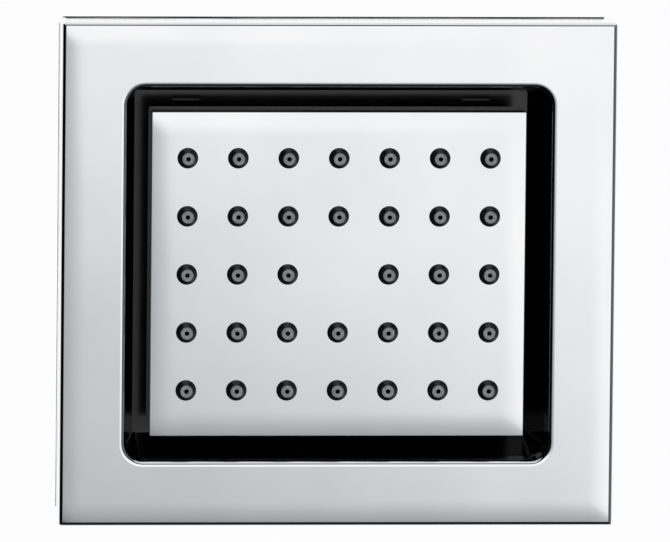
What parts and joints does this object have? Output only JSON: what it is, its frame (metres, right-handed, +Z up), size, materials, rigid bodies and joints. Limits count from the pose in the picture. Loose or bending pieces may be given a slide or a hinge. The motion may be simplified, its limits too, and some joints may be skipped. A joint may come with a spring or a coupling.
{
  "type": "rain shower head",
  "caption": "Flush rain shower head: a rectangular nozzle plate on a ball joint tilts in the opening of a polished trim, over a black recess housing with a pipe-thread inlet.",
  "frame": {"origin": "centre of the trim on the finished wall's surface, in the middle of the four wall screws", "axes": "+X to the right as seen from the room, +Z up, -Y out of the wall into the room, +Y into the wall along the inlet"},
  "size_m": [0.12, 0.0632, 0.1094],
  "materials": {
    "polished_chrome": "polished",
    "ivory_acetal": "satin",
    "foam_rubber": "matte",
    "gloss_black_abs": "gloss",
    "matt_black_abs": "satin",
    "stainless_steel": "satin",
    "turned_brass": "satin",
    "nickelled_brass": "satin",
    "black_rubber": "matte",
    "black_silicone": "satin",
    "green_acetal": "satin"
  },
  "bodies": {
    "wall_unit": {"trim_frame": "polished_chrome", "snap_bushes": "ivory_acetal", "wall_gasket": "foam_rubber", "recess_housing": "gloss_black_abs", "wall_screws": "stainless_steel", "ball_stud": "turned_brass", "well_washer": "black_rubber", "nut_washer": "stainless_steel", "lock_nut": "turned_brass", "flow_regulator": "green_acetal", "regulator_ring": "black_rubber", "inlet_strainer": "ivory_acetal"},
    "liner": {"friction_liner": "ivory_acetal"},
    "spray_head": {"spray_plate": "polished_chrome", "nozzle_mat": "black_silicone", "backing_plate": "ivory_acetal", "chamber_gasket": "black_rubber", "chamber_back": "matt_black_abs", "chamber_screws": "stainless_steel", "ball_seal": "black_rubber", "collar_nut": "nickelled_brass"}
  },
  "joints": [
    {"name": "plate_tilt", "type": "hinge", "parent": "wall_unit", "child": "liner", "pos_m": [0, 0.0079, 0], "axis": [1, 0, 0], "range_deg": [-8, 8]},
    {"name": "plate_turn", "type": "hinge", "parent": "liner", "child": "spray_head", "pos_m": [0, 0.0079, 0], "axis": [0, 0, 1], "range_deg": [-8, 8]}
  ]
}
